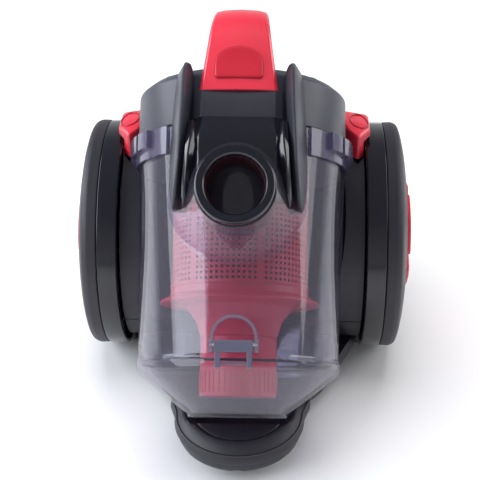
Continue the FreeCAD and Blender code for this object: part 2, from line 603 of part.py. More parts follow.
drum = revolved("reel_spool", [
    (6.1, 3), (54, 3), (54, 5), (28, 5), (28, 42), (54, 42), (54, 44), (6.1, 44)])
keep("reel_drum", drum, reel_place)
keep("reel_axle", cylinder("reel_shaft", 6, 48), reel_place)
reel_cheeks = [box(f"reel_cheek{n}", (x, 84, 17), (x + 2, 132, 92)) for n, x in enumerate((37, 83))]
reel_shaft_space = cylinder("reel_shaft_space", 6, 60, reel_place)
reel_foot = box("reel_foot", (37, 84, 17), (85, 132, 19))
keep("reel_frame", cut("reel_frame_bored", fuse("reel_frame_whole", *reel_cheeks, reel_foot), reel_shaft_space))
gland_place = Placement(Vector(66, float(rear) - 6, 92), Rotation(X, -90))
keep("cord_gland", revolved("gland", [(4.5, 0), (12, 0), (12, 3), (9, 3), (9, 6), (4.5, 6)], gland_place))
keep("power_switch", box("switch_block", (-92, 40, 140), (-80, 58, 160)))
keep("control_board", box("board", (-40, 84, 140), (30, 124, 142)))
screws = []
for n, (x, y) in enumerate(corners):
    screws += [cylinder(f"screw{n}", 2, 56, at(x, y, 13.5)), cylinder(f"screw_head{n}", 4, 2, at(x, y, 12))]
keep("housing_screws", fuse("screws_all", *screws))


# ---------------------------------------------------------------- checks and files
doc.recompute()
for thing in doc.Objects:
    if "Invalid" in thing.State or "Error" in thing.State:
        raise RuntimeError(f"{thing.Label} did not recompute: {thing.State}")
os.makedirs("parts", exist_ok=True)
for label, thing in parts.items():
    shape = thing.Shape
    if shape.isNull() or not shape.isValid() or not shape.Solids:
        raise RuntimeError(f"{label} has no valid solid shape")
    shape.exportStep(f"parts/{label}.step")
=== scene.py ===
"""The looks of the bagless canister vacuum cleaner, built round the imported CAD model."""

import json
import math

import bmesh
import bpy
from mathutils import Matrix, Vector


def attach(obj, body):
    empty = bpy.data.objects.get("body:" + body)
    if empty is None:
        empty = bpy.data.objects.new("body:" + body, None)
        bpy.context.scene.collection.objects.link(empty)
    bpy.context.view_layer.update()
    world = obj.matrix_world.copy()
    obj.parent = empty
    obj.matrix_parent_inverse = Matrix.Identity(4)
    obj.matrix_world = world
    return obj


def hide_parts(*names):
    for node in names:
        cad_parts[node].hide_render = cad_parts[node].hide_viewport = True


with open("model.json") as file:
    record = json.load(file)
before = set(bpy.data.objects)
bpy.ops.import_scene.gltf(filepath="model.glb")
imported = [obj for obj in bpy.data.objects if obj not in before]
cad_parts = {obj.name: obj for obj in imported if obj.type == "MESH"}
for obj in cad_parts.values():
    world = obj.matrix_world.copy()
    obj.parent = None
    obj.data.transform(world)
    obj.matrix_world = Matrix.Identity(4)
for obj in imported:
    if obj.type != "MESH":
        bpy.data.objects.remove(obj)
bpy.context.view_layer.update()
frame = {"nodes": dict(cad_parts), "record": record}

MM = 0.001
AXLE = Vector((0, 0.048, 0.098))
# the dust cup's own frame, in mm: its bottom centre at the origin, its axis along +Z, its front towards -Y
CUP = Matrix.Translation((0, -0.116, 0.080)) @ Matrix.Rotation(math.radians(-42), 4, "X")
WORLD = Matrix.Identity(4)
INLET_HEIGHT = 117.5  # of the hose inlet's middle, in the cup's frame
CUP_TOP = 172
SEAT_RADIUS = 86  # of the round seat in the body that the cup leans in
NOSE_Y, NOSE_RADIUS = -114, 52
CASTER = Matrix.Translation((0, -145, 0))
HANDLE_TOP = 268.4


# ---------------------------------------------------------------- materials
def nodes_of(name):
    material = bpy.data.materials.new(name)
    material.use_nodes = True
    tree = material.node_tree
    return material, tree, tree.nodes["Principled BSDF"]


def grain(tree, scale, detail=3.0, stretch=(1, 1, 1)):
    """Noise in the object's own coordinates."""
    place = tree.nodes.new("ShaderNodeTexCoord")
    mapping = tree.nodes.new("ShaderNodeMapping")
    mapping.inputs["Scale"].default_value = stretch
    noise = tree.nodes.new("ShaderNodeTexNoise")
    noise.inputs["Scale"].default_value = scale
    noise.inputs["Detail"].default_value = detail
    tree.links.new(place.outputs["Object"], mapping.inputs["Vector"])
    tree.links.new(mapping.outputs["Vector"], noise.inputs["Vector"])
    return noise.outputs["Fac"]


def spread(tree, source, low, high, start=0.3, end=0.7):
    ramp = tree.nodes.new("ShaderNodeMapRange")
    for socket, value in (("From Min", start), ("From Max", end), ("To Min", low), ("To Max", high)):
        ramp.inputs[socket].default_value = value
    tree.links.new(source, ramp.inputs["Value"])
    return ramp.outputs["Result"]


def tinted(tree, source, first, second):
    mix = tree.nodes.new("ShaderNodeMix")
    mix.data_type = "RGBA"
    mix.inputs[6].default_value = (*first, 1)
    mix.inputs[7].default_value = (*second, 1)
    tree.links.new(source, mix.inputs["Factor"])
    return mix.outputs[2]


def plastic(name, colour, roughness, texture=0.0, texture_scale=900, coat=0.0, vary=0.12):
    """Moulded plastic: slight uneven colour, patchy gloss and a fine moulded texture."""
    material, tree, shader = nodes_of(name)
    broad = grain(tree, 18, 4)
    darker = tuple(c * (1 - vary) for c in colour)
    lighter = tuple(min(1, c * (1 + vary)) for c in colour)
    tree.links.new(tinted(tree, broad, darker, lighter), shader.inputs["Base Color"])
    tree.links.new(spread(tree, broad, roughness * 0.85, roughness * 1.15), shader.inputs["Roughness"])
    shader.inputs["Coat Weight"].default_value = coat
    shader.inputs["Coat Roughness"].default_value = 0.06
    bump = tree.nodes.new("ShaderNodeBump")
    bump.inputs["Strength"].default_value = max(texture, 0.02)
    bump.inputs["Distance"].default_value = 0.0003
    tree.links.new(grain(tree, texture_scale if texture else 60, 2), bump.inputs["Height"])
    tree.links.new(bump.outputs["Normal"], shader.inputs["Normal"])
    return material


def clear_plastic(name, tint, gloss=0.06, haze=0.12, haze_colour=(0.5, 0.5, 0.6), edge=0.5):
    """Thin clear plastic: the light that goes straight through is tinted, with a haze and a reflecting skin."""
    material, tree, shader = nodes_of(name)
    tree.nodes.remove(shader)
    out = tree.nodes["Material Output"]
    through = tree.nodes.new("ShaderNodeBsdfTransparent")
    broad = grain(tree, 9, 2)
    tree.links.new(tinted(tree, broad, tuple(c * 0.97 for c in tint), tint), through.inputs["Color"])
    milky = tree.nodes.new("ShaderNodeBsdfPrincipled")
    milky.inputs["Base Color"].default_value = (*haze_colour, 1)
    milky.inputs["Roughness"].default_value = 0.3
    skin = tree.nodes.new("ShaderNodeBsdfAnisotropic")
    skin.inputs["Color"].default_value = (1, 1, 1, 1)
    tree.links.new(spread(tree, grain(tree, 30, 3), gloss * 0.7, gloss * 1.3), skin.inputs["Roughness"])
    body = tree.nodes.new("ShaderNodeMixShader")
    body.inputs["Fac"].default_value = haze
    facing = tree.nodes.new("ShaderNodeLayerWeight")
    facing.inputs["Blend"].default_value = 0.5
    power = tree.nodes.new("ShaderNodeMath")
    power.operation = "POWER"
    power.inputs[1].default_value = 3.5
    shine = spread(tree, power.outputs[0], 0.035, edge, 0.0, 1.0)
    surface = tree.nodes.new("ShaderNodeMixShader")
    tree.links.new(facing.outputs["Facing"], power.inputs[0])
    tree.links.new(through.outputs[0], body.inputs[1])
    tree.links.new(milky.outputs[0], body.inputs[2])
    tree.links.new(shine, surface.inputs["Fac"])
    tree.links.new(body.outputs[0], surface.inputs[1])
    tree.links.new(skin.outputs[0], surface.inputs[2])
    tree.links.new(surface.outputs[0], out.inputs["Surface"])
    return material


def brushed(name, colour, roughness=0.3):
    """Turned or pressed metal with fine lines."""
    material, tree, shader = nodes_of(name)
    lines = grain(tree, 300, 4, (1, 1, 0.04))
    shader.inputs["Metallic"].default_value = 1
    tree.links.new(tinted(tree, lines, tuple(c * 0.8 for c in colour), colour), shader.inputs["Base Color"])
    tree.links.new(spread(tree, lines, roughness * 0.7, roughness * 1.3), shader.inputs["Roughness"])
    return material


MATERIALS = {
    "housing_black": plastic("housing_black", (0.014, 0.014, 0.021), 0.40, 0.10, 1400),
    "gloss_black": plastic("gloss_black", (0.005, 0.005, 0.010), 0.16, coat=0.3),
    "charcoal": plastic("charcoal", (0.020, 0.019, 0.026), 0.50, 0.25, 1500),
    "slate": plastic("slate", (0.030, 0.032, 0.048), 0.42, 0.08, 1200, coat=0.05),
    "red_gloss": plastic("red_gloss", (0.66, 0.024, 0.050), 0.28, coat=0.4, vary=0.05),
    "filter_red": plastic("filter_red", (0.60, 0.016, 0.050), 0.40, 0.1, 800, vary=0.08),
    "smoked_clear": clear_plastic("smoked_clear", (0.84, 0.83, 0.90), 0.05, 0.035, (0.55, 0.54, 0.72), 0.55),
    "smoked_latch": clear_plastic("smoked_latch", (0.70, 0.70, 0.78), 0.08, 0.20, (0.45, 0.45, 0.56)),
    "rubber": plastic("rubber", (0.010, 0.010, 0.012), 0.75, 0.4, 500),
    "foam": plastic("foam", (0.14, 0.145, 0.17), 0.9, 1.0, 350),
    "pleats": plastic("pleats", (0.75, 0.74, 0.70), 0.8, 0.5, 200),
    "steel": brushed("steel", (0.62, 0.62, 0.64)),
    "motor_metal": brushed("motor_metal", (0.7, 0.71, 0.73), 0.35),
    "copper": brushed("copper", (0.72, 0.35, 0.16), 0.4),
    "board": plastic("board", (0.02, 0.16, 0.06), 0.4),
    "collar_smoke": clear_plastic("collar_smoke", (0.55, 0.53, 0.64), 0.10, 0.35, (0.16, 0.14, 0.24)),
    "charcoal_satin": plastic("charcoal_satin", (0.026, 0.026, 0.036), 0.38, 0.15, 1500),
    # a much darker copy of filter_red for the core inside the shroud: painted shade
    "filter_dark": plastic("filter_dark", (0.10, 0.004, 0.014), 0.5),
    # near-black red for the lining and plug inside the hose inlet: painted shade deep in the duct
    "throat_dark": plastic("throat_dark", (0.030, 0.002, 0.008), 0.5),
    "fin_grey": plastic("fin_grey", (0.030, 0.031, 0.044), 0.40, 0.08, 1300, coat=0.05),
    # the handle red made darker for the release button: painted shade on the button's face
    "red_button": plastic("red_button", (0.50, 0.010, 0.028), 0.30, coat=0.4, vary=0.05),
    # a darker copy of red_gloss: painted shade, for the gap round the handle button and the pedals' oval groove
    "red_deep": plastic("red_deep", (0.40, 0.010, 0.030), 0.30, coat=0.4, vary=0.05),
    "latch_grey": plastic("latch_grey", (0.10, 0.10, 0.15), 0.16, coat=0.4),
}
for entry in frame["record"]["subparts"]:
    node = frame["nodes"][entry["node"]]
    node.data.materials.clear()
    node.data.materials.append(MATERIALS[entry["material_slot"]])

# ---------------------------------------------------------------- floor, light and camera
floor_material, floor_tree, floor_shader = nodes_of("pale_floor")
floor_grain = grain(floor_tree, 3, 5)
floor_tree.links.new(tinted(floor_tree, floor_grain, (0.90, 0.90, 0.91), (0.93, 0.93, 0.94)),
                     floor_shader.inputs["Base Color"])
floor_shader.inputs["Roughness"].default_value = 0.6
floor_mesh = bpy.data.meshes.new("floor")
floor_mesh.from_pydata([(-6, -6, 0), (6, -6, 0), (6, 6, 0), (-6, 6, 0)], [], [(0, 1, 2, 3)])
floor = bpy.data.objects.new("floor", floor_mesh)
floor_mesh.materials.append(floor_material)
bpy.context.scene.collection.objects.link(floor)


def area_light(name, place, target, size, power, colour=(1, 1, 1)):
    light = bpy.data.lights.new(name, "AREA")
    light.shape, light.size, light.size_y = "RECTANGLE", size[0], size[1]
    light.energy, light.color = power, colour
    lamp = bpy.data.objects.new(name, light)
    lamp.location = place
    lamp.rotation_euler = (Vector(target) - Vector(place)).to_track_quat("-Z", "Y").to_euler()
    bpy.context.scene.collection.objects.link(lamp)
    return lamp


MIDDLE = (0, -0.02, 0.15)
area_light("left_window", (-1.35, -0.15, 0.85), MIDDLE, (2.2, 0.9), 32, (0.90, 0.94, 1.0))
area_light("right_window", (1.45, 0.35, 0.8), MIDDLE, (1.5, 0.8), 11)
overhead = area_light("overhead", (0, 0.1, 1.8), MIDDLE, (1.4, 1.2), 21)
overhead.visible_glossy = False
behind = area_light("behind", (0, 1.6, 1.0), MIDDLE, (1.6, 0.6), 8)
behind.visible_glossy = False
world = bpy.data.worlds.new("studio")
world.use_nodes = True
sky = world.node_tree
sky_place = sky.nodes.new("ShaderNodeTexCoord")
sky_parts = sky.nodes.new("ShaderNodeSeparateXYZ")
sky.links.new(sky_place.outputs["Generated"], sky_parts.inputs[0])
sky.nodes["Background"].inputs["Color"].default_value = (0.93, 0.95, 1.0, 1)
sky.links.new(spread(sky, sky_parts.outputs["Z"], 0.62, 0.28, 0.1, 0.7),
              sky.nodes["Background"].inputs["Strength"])
bpy.context.scene.world = world
bpy.context.scene.view_settings.view_transform = "Standard"

azimuth, elevation = math.radians(1.2), math.radians(32)
back = Vector((math.sin(azimuth) * math.cos(elevation), -math.cos(azimuth) * math.cos(elevation),
               math.sin(elevation)))
camera_data = bpy.data.cameras.new("camera")
camera_data.lens, camera_data.sensor_width = 86.6, 36
camera_data.shift_x, camera_data.shift_y = -0.0583, -0.0167
camera = bpy.data.objects.new("camera", camera_data)
camera.rotation_mode = "QUATERNION"
camera.rotation_quaternion = (-back).to_track_quat("-Z", "Y")
right = camera.rotation_quaternion @ Vector((1, 0, 0))
camera.location = AXLE + back * 1.020 + right * 0.0194
bpy.context.scene.collection.objects.link(camera)
bpy.context.scene.camera = camera


# ---------------------------------------------------------------- mesh making
def fillet(points, radius, steps=5, closed=True):
    """Rounds the corners of an outline. radius is one number or one per point."""
    count = len(points)
    radii = radius if isinstance(radius, (list, tuple)) else [radius] * count
    made = []
    for i, point in enumerate(points):
        here = Vector(point)
        end = not closed and i in (0, count - 1)
        if radii[i] <= 0 or end:
            made.append(tuple(here))
            continue
        before, after = Vector(points[i - 1]) - here, Vector(points[(i + 1) % count]) - here
        a, b = before.normalized(), after.normalized()
        half = math.acos(max(-1, min(1, a.dot(b)))) / 2
        if half < 0.02 or half > 1.56:
            made.append(tuple(here))
            continue
        reach = min(radii[i] / math.tan(half), before.length * 0.49, after.length * 0.49)
        size = reach * math.tan(half)
        centre = here + (a + b).normalized() * (size / math.sin(half))
        start, stop = here + a * reach - centre, here + b * reach - centre
        for n in range(steps + 1):
            t = n / steps
            angle = math.pi - 2 * half
            mixed = (start * math.sin((1 - t) * angle) + stop * math.sin(t * angle)) / math.sin(angle)
            made.append(tuple(centre + mixed))
    return made


def mesh_of(name, vertices, faces, place):
    """A mesh from points in mm in the frame of place, with its faces turned outwards."""
    mesh = bpy.data.meshes.new(name)
    mesh.from_pydata([tuple(place @ (Vector(v) * MM)) for v in vertices], [], faces)
    mesh.validate()
    solid = bmesh.new()
    solid.from_mesh(mesh)
    bmesh.ops.recalc_face_normals(solid, faces=solid.faces)
    solid.to_mesh(mesh)
    solid.free()
    return mesh


def mesh_piece(name, vertices, faces, material, body, stands_for=(), place=CUP, sharp=32, bevel=0.0):
    """A piece of the visual model. It rides on a CAD body and may stand for CAD nodes."""
    mesh = mesh_of(name, vertices, faces, place)
    mesh.materials.append(MATERIALS[material])
    mesh.polygons.foreach_set("use_smooth", [True] * len(mesh.polygons))
    mesh.set_sharp_from_angle(angle=math.radians(sharp))
    piece = bpy.data.objects.new(name, mesh)
    bpy.context.scene.collection.objects.link(piece)
    if bevel:
        edge = piece.modifiers.new("edges", "BEVEL")
        edge.width, edge.segments, edge.limit_method = bevel * MM, 3, "ANGLE"
        edge.angle_limit = math.radians(35)
        edge.harden_normals = True
    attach(piece, body)
    if stands_for:
        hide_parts(*stands_for)
    return piece


def cut_by(piece, cutter):
    """Cuts another object out of a piece and removes that object. A bevel on the piece stays a modifier."""
    step = piece.modifiers.new("carve", "BOOLEAN")
    step.operation, step.solver, step.object = "DIFFERENCE", "EXACT", cutter
    piece.modifiers.move(len(piece.modifiers) - 1, 0)
    others = [m for m in piece.modifiers if m != step]
    for other in others:
        other.show_viewport = False
    bpy.context.view_layer.update()
    result = bpy.data.meshes.new_from_object(piece.evaluated_get(bpy.context.evaluated_depsgraph_get()))
    for other in others:
        other.show_viewport = True
    piece.modifiers.remove(step)
    piece.data = result
    bpy.data.objects.remove(cutter)


def carved(piece, shape, place=CUP):
    """Cuts the closed shape, in mm in the frame of place, out of a piece."""
    cutter = bpy.data.objects.new("cutter", mesh_of("cutter", *shape, place))
    bpy.context.scene.collection.objects.link(cutter)
    cut_by(piece, cutter)


def lathe(profile, steps=144, closed=True, turn=None):
    """Vertices and faces of a profile of (radius, height) turned round +Z, then moved by turn."""
    vertices, faces = [], []
    count = len(profile)
    for k in range(steps):
        angle = 2 * math.pi * k / steps
        for radius, height in profile:
            reach = max(radius, 0.01)
            vertices.append(Vector((reach * math.cos(angle), reach * math.sin(angle), height)))
    for k in range(steps):
        other = (k + 1) % steps
        for i in range(count if closed else count - 1):
            j = (i + 1) % count
            faces.append((k * count + i, other * count + i, other * count + j, k * count + j))
    if turn is not None:
        vertices = [turn @ v for v in vertices]
    return vertices, faces


def loft(rings, capped=True):
    """Skin over rings that have the same number of points."""
    count = len(rings[0])
    vertices = [Vector(p) for ring in rings for p in ring]
    faces = []
    for k in range(len(rings) - 1):
        for i in range(count):
            j = (i + 1) % count
            faces.append((k * count + i, k * count + j, (k + 1) * count + j, (k + 1) * count + i))
    if capped:
        faces.append(tuple(range(count - 1, -1, -1)))
        faces.append(tuple((len(rings) - 1) * count + i for i in range(count)))
    return vertices, faces


def prism(outline, low, high, across="z"):
    """An outline in x, y pulled from low to high along z; or in x, z along y; or in y, z along x."""
    order = {"z": (0, 1, 2), "y": (0, 2, 1), "x": (2, 0, 1)}[across]
    rings = []
    for level in (low, high):
        rings.append([tuple((a, b, level)[i] for i in order) for a, b in outline])
    return loft(rings)


def domed(outline, bottom, top_of, edge=1.0, rings=6):
    """A pad on an outline with a rounded rim and a top face of height top_of(x, y)."""
    cx = sum(p[0] for p in outline) / len(outline)
    cy = sum(p[1] for p in outline) / len(outline)
    far = max(math.hypot(x - cx, y - cy) for x, y in outline)

    def ring(share, drop):
        pulled = [(cx + (x - cx) * share, cy + (y - cy) * share) for x, y in outline]
        return [(x, y, top_of(x, y) - drop) for x, y in pulled]

    levels = [[(x, y, bottom) for x, y in outline], ring(1, edge)]
    levels += [ring(1 - edge / far * (1 - math.cos(a)), edge * (1 - math.sin(a))) for a in (0.5, 1.05, 1.5708)]
    inner = 1 - edge / far
    levels += [ring(inner * (1 - n / rings), 0) for n in range(1, rings)]
    levels.append(ring(0.02, 0))
    return loft(levels)


def dome(top, fall, middle_y=0.0):
    """The height over (x, y) of a shallow dome."""
    return lambda x, y: top - fall * (x * x + (y - middle_y) ** 2)


def joined(*shapes):
    vertices, faces = [], []
    for more_vertices, more_faces in shapes:
        start = len(vertices)
        vertices += list(more_vertices)
        faces += [tuple(start + i for i in face) for face in more_faces]
    return vertices, faces


def cylinder_shape(radius, low, high, matrix=WORLD, steps=64):
    return lathe([(0.1, low), (radius, low), (radius, high), (0.1, high)], steps, True, matrix)


def moved(shape, matrix):
    return [matrix @ Vector(v) for v in shape[0]], shape[1]


def tube_along(points, radius, sides=10):
    """A round bar along points."""
    rings = []
    for i, point in enumerate(points):
        here = Vector(point)
        along = (Vector(points[min(i + 1, len(points) - 1)]) - Vector(points[max(i - 1, 0)])).normalized()
        aside = along.cross(Vector((0, 0, 1)) if abs(along.z) < 0.9 else Vector((1, 0, 0))).normalized()
        up = along.cross(aside)
        turns = [2 * math.pi * k / sides for k in range(sides)]
        rings.append([here + (aside * math.cos(a) + up * math.sin(a)) * radius for a in turns])
    return loft(rings)


# ---------------------------------------------------------------- wheels
def about_axle(side):
    """The frame of a wheel in mm: out along its axle from its inside face."""
    return (Matrix.Translation((side * 0.100, 0.048, 0.098)) @
            Matrix.Rotation(math.radians(side * 90), 4, "Y"))


def sector(radius, gap, steps=14):
    """A quarter of a disc with a channel of half width gap beside each straight edge."""
    start = math.asin(gap / radius)
    arc = [(radius * math.cos(a), radius * math.sin(a))
           for a in (start + (math.pi / 2 - 2 * start) * n / steps for n in range(steps + 1))]
    return fillet([(gap, gap)] + arc, [5, 4] + [0] * (steps - 1) + [4])


for side, name in ((-1, "left"), (1, "right")):
    place, body = about_axle(side), f"{name}_wheel"
    shell = fillet([(12, 13), (94.5, 13), (94.5, 0.4), (98, 0.4), (98, 16.6), (12, 16.6)],
                   [0, 2, 0.8, 1.6, 0.8, 0])
    inner_ring = fillet([(80, 9), (86, 9), (86, 13.2), (80, 13.2)], 0.8)
    spokes = []
    for n in range(12):
        rib = prism([(12, -1.2), (92, -1.2), (92, 1.2), (12, 1.2)], 8.5, 13.2)
        spokes.append(moved(rib, Matrix.Rotation(2 * math.pi * n / 12, 4, "Z")))
    hub = fillet([(5.2, 0), (11, 0), (11, 14), (5.2, 14)], 0.6)
    mesh_piece(f"{name}_wheel_shell_looks", *joined(lathe(shell), lathe(inner_ring), lathe(hub, 48), *spokes),
               "gloss_black", body, (f"{name}_wheel_shell",), place)
    cover = fillet([(95, 17.2), (97.3, 17.2), (97.7, 18.0), (98, 25.0), (96.4, 29.4), (90, 31.6), (80, 33.8),
                    (70, 35.3), (58, 36.2), (50.5, 36.5), (48.6, 36.2), (47.2, 36.6), (46.2, 36.3), (46.2, 35),
                    (0.2, 35), (0.2, 32), (90, 27), (95, 22)],
                   [0.3, 0.4, 0.8, 5, 5, 14, 20, 20, 20, 1.2, 0.8, 0.5, 0.4, 0, 0, 0, 0, 0])
    mesh_piece(f"{name}_wheel_cover_looks", *lathe(cover), "charcoal", body, (f"{name}_wheel_cover",), place)
    quarter = sector(45.3, 6.5)
    pad = domed(quarter, 35.2, dome(42.8, 0.0010), 1.4)
    pads = [moved(pad, Matrix.Rotation(math.pi / 2 * n, 4, "Z")) for n in range(4)]
    disc = lathe(fillet([(0.1, 35.1), (45.4, 35.1), (45.4, 37.0), (0.1, 37.0)], [0, 0, 0.6, 0]))
    mesh_piece(f"{name}_hub_looks", *joined(disc, *pads), "red_gloss", body, (f"{name}_hub_trim",), place)

# ---------------------------------------------------------------- the clear dust cup
def cup_radius(height):
    return 77 + 5 * height / CUP_TOP


def ring_sector(inside, outside, low, high, start, sweep, steps=24):
    """A part of a ring, angles in degrees from +X."""
    rings = []
    for n in range(steps + 1):
        a = math.radians(start + sweep * n / steps)
        rings.append([(r * math.cos(a), r * math.sin(a), h)
                      for r, h in ((inside, low), (outside, low), (outside, high), (inside, high))])
    return loft(rings)


def flare(outer_radius, inner_radius, mouth, steps=96, rings=12):
    """The clear boss round the hose inlet, running out smoothly from the cup's wall."""
    levels = []
    for n in range(rings + 1):
        t = n / rings
        radius = inner_radius + (outer_radius - inner_radius) * t
        ring = []
        for k in range(steps):
            a = 2 * math.pi * k / steps
            x, height = radius * math.cos(a), INLET_HEIGHT + radius * math.sin(a)
            wall = math.sqrt(max(cup_radius(height) ** 2 - x * x, 1))
            ring.append((x, -(wall + (mouth - wall) * (1 - t) ** 2.1), height))
        levels.append(ring)
    return loft(levels, False)


cup_profile = fillet([(75.6, 0), (77.6, 0), (77.6, 2.2), (77, 3.2), (81.8, 165), (82, CUP_TOP),
                      (79.5, CUP_TOP), (74.6, 3)],
                     [0.6, 0.6, 0.6, 1, 0, 1, 0.6, 1])
mesh_piece("cup_wall", *lathe(cup_profile, 192), "smoked_clear", "dust_cup", ("clear_cup",))
mesh_piece("inlet_flare", *flare(52, 29.4, 104), "smoked_clear", "dust_cup")
cup_band = ring_sector(82.1, 83.8, 151, CUP_TOP, -50, 280, 120)
mesh_piece("cup_band", *cup_band, "collar_smoke", "dust_cup", sharp=50)
lugs = []
for start, sweep in ((-37, 10), (-24.6, 31), (172, 32.6), (207, 10)):
    lugs.append(ring_sector(82.5, 87.9, 158.2, 171.8, start, sweep))
mesh_piece("collar_lugs", *joined(*lugs), "collar_smoke", "dust_cup", bevel=0.9)

# hose inlet duct: a black ring with a step behind its rim; inside it, a dark red lining and plug that are painted
# shade deep in the duct
to_front = Matrix.Translation((0, 0, INLET_HEIGHT)) @ Matrix.Rotation(math.radians(90), 4, "X")
duct = fillet([(21.4, 62), (28.2, 62), (28.2, 113), (27.4, 114.8), (22.6, 114.8), (21.4, 113.6)],
              [0, 0, 1.2, 0.8, 0.8, 0.6])
step_ring = fillet([(28.1, 99), (29.2, 99.6), (29.2, 104), (28.1, 105)], 0.4)
mesh_piece("inlet_ring", *joined(lathe(duct, 128, True, to_front), lathe(step_ring, 128, True, to_front)),
           "gloss_black", "dust_cup", ("inlet_duct",))
# a lining and plug closing the bore, coloured as painted shade
shade_lining = fillet([(0.1, 56), (21.3, 56), (21.3, 108), (20.8, 108), (20.4, 57.5), (0.1, 57.5)], 0.2)
mesh_piece("inlet_duct_shade", *lathe(shade_lining, 96, True, to_front), "throat_dark", "dust_cup")


# ---------------------------------------------------------------- cyclone shroud with its rows of square holes
def perforated(radius, thickness, low, high, columns, rows, share, blank_every, blank):
    """A tube with a grid of square holes; each blank_every columns of holes are followed by solid ones."""
    angle_step, row_step = 2 * math.pi / columns, (high - low) / rows
    vertices, faces, index = [], [], {}

    def corner(column, row, deep):
        key = (column % (2 * columns), row, deep)
        if key not in index:
            a = (key[0] // 2 + (share if key[0] % 2 else 0)) * angle_step
            h = low + (row // 2 + (share if row % 2 else 0)) * row_step
            r = radius - (thickness if deep else 0)
            index[key] = len(vertices)
            vertices.append((r * math.cos(a), r * math.sin(a), min(h, high)))
        return index[key]

    def solid(column, row):
        return column % 2 == 1 or row % 2 == 1 or (column // 2) % blank_every >= blank_every - blank

    for c in range(2 * columns):
        for r in range(2 * rows):
            if not solid(c, r):
                continue
            for deep in (False, True):
                face = [corner(c + a, r + b, deep) for a, b in ((0, 0), (1, 0), (1, 1), (0, 1))]
                faces.append(tuple(reversed(face)) if deep else tuple(face))
            for dc, dr, a, b in ((-1, 0, (0, 0), (0, 1)), (1, 0, (1, 1), (1, 0)), (0, -1, (1, 0), (0, 0)),
                                 (0, 1, (0, 1), (1, 1))):
                beside = (c + dc) % (2 * columns), r + dr
                if 0 <= beside[1] < 2 * rows and not solid(*beside):
                    p = [corner(c + a[0], r + a[1], False), corner(c + b[0], r + b[1], False),
                         corner(c + b[0], r + b[1], True), corner(c + a[0], r + a[1], True)]
                    faces.append(tuple(p))
    return vertices, faces


grid = perforated(53, 1.6, 60, 146, 80, 21, 0.52, 13, 1)
plain = lathe(fillet([(51, 146), (53.6, 146), (53.6, 151), (51, 151)], 0.3))
foot_band = lathe(fillet([(51, 57), (53.8, 57), (53.8, 60), (51, 60)], 0.3))
mesh_piece("shroud_looks", *joined(grid, plain, foot_band), "filter_red", "dust_cup", ("cyclone_shroud",),
           sharp=40)
# the core is given a far darker red than the shroud: painted shade inside the shroud
core = lathe(fillet([(30, 52), (32, 52), (34, 112), (30, 112)], 0.5), 96)
mesh_piece("cyclone_core", *core, "filter_dark", "dust_cup")
skirt = fillet([(27.5, 22), (29.5, 20), (33.5, 33), (42, 43), (52, 46.5), (60.6, 45.2), (61.8, 46), (61, 47.6),
                (54.5, 51), (53.2, 57.2), (51.6, 57.2), (51.6, 52), (41, 47), (31, 36)],
               [0.5, 0.5, 10, 12, 8, 0.6, 0.6, 0.6, 3, 0.6, 0.4, 2, 8, 8])
mesh_piece("skirt_looks", *lathe(skirt), "filter_red", "dust_cup", ("shroud_skirt",))
tube = fillet([(27.5, -25), (29.5, -25), (29.5, 20), (27.5, 22)], 0.4)
ribs = []
for n in range(40):
    rib = prism([(29.2, -0.5), (30.2, -0.4), (30.2, 0.4), (29.2, 0.5)], -22, -6)
    ribs.append(moved(rib, Matrix.Rotation(2 * math.pi * n / 40, 4, "Z")))
mesh_piece("tube_looks", *joined(lathe(tube, 96), *ribs), "filter_red", "dust_cup", ("dust_tube",))

# ---------------------------------------------------------------- the cover with its facia, cowl and fins
cover_profile = fillet([(76.4, 164), (79.2, 164), (79.2, 172.6), (82, 172.6), (82, 208), (74, 215), (50, 215.4),
                        (0.1, 215.4), (0.1, 212.5), (70, 212.5), (76.4, 206)],
                       [0.4, 0.4, 0, 0.8, 4, 6, 0, 0, 0, 2, 2])
mesh_piece("cover_looks", *lathe(cover_profile, 192), "slate", "dust_cup", ("cup_cover",))
crown = fillet([(-58, -52), (58, -52), (66, 10), (44, 56), (-44, 56), (-66, 10)], [12, 12, 20, 24, 24, 20])
mesh_piece("cover_crown", *domed(crown, 214, dome(217.2, 0.0003), 1.6), "slate", "dust_cup")

facia_outline = [(-32.5, -70), (-32.5, -80.5), (-27, -84.8), (27, -84.8), (32.5, -80.5), (32.5, -70)]
facia_rings = []
for height, pull in ((172.7, 0.0), (176, 0.0), (184, 0.0), (190, 0.8), (194, 2.4), (197, 5.0), (198.5, 8.0)):
    facia_rings.append([(x, y + pull, height + 1.5 * (1 - (x / 32.5) ** 2) * (height < 173))
                        for x, y in fillet(facia_outline, [0, 1.2, 1.5, 1.5, 1.2, 0], 4)])
mesh_piece("facia_looks", *loft(facia_rings), "charcoal_satin", "dust_cup", ("front_panel",))


# the glossy cowl behind the inlet ring, with a lobe that hangs on each side of it
def cowl_section(height):
    """Half width and front depth of the cowl at a height."""
    levels = ((108, 33.0, 93.0), (112, 34.5, 93.5), (120, 35.5, 94.2), (132, 36.2, 95.0), (145, 36.4, 95.4),
              (156, 36.0, 94.0), (164, 35.4, 91.0), (170, 35.0, 87.6), (173.6, 34.8, 85.6))
    for (low, half_a, deep_a), (high, half_b, deep_b) in zip(levels, levels[1:]):
        if height <= high:
            t = max(0, (height - low) / (high - low))
            return half_a + (half_b - half_a) * t, deep_a + (deep_b - deep_a) * t
    return levels[-1][1:]


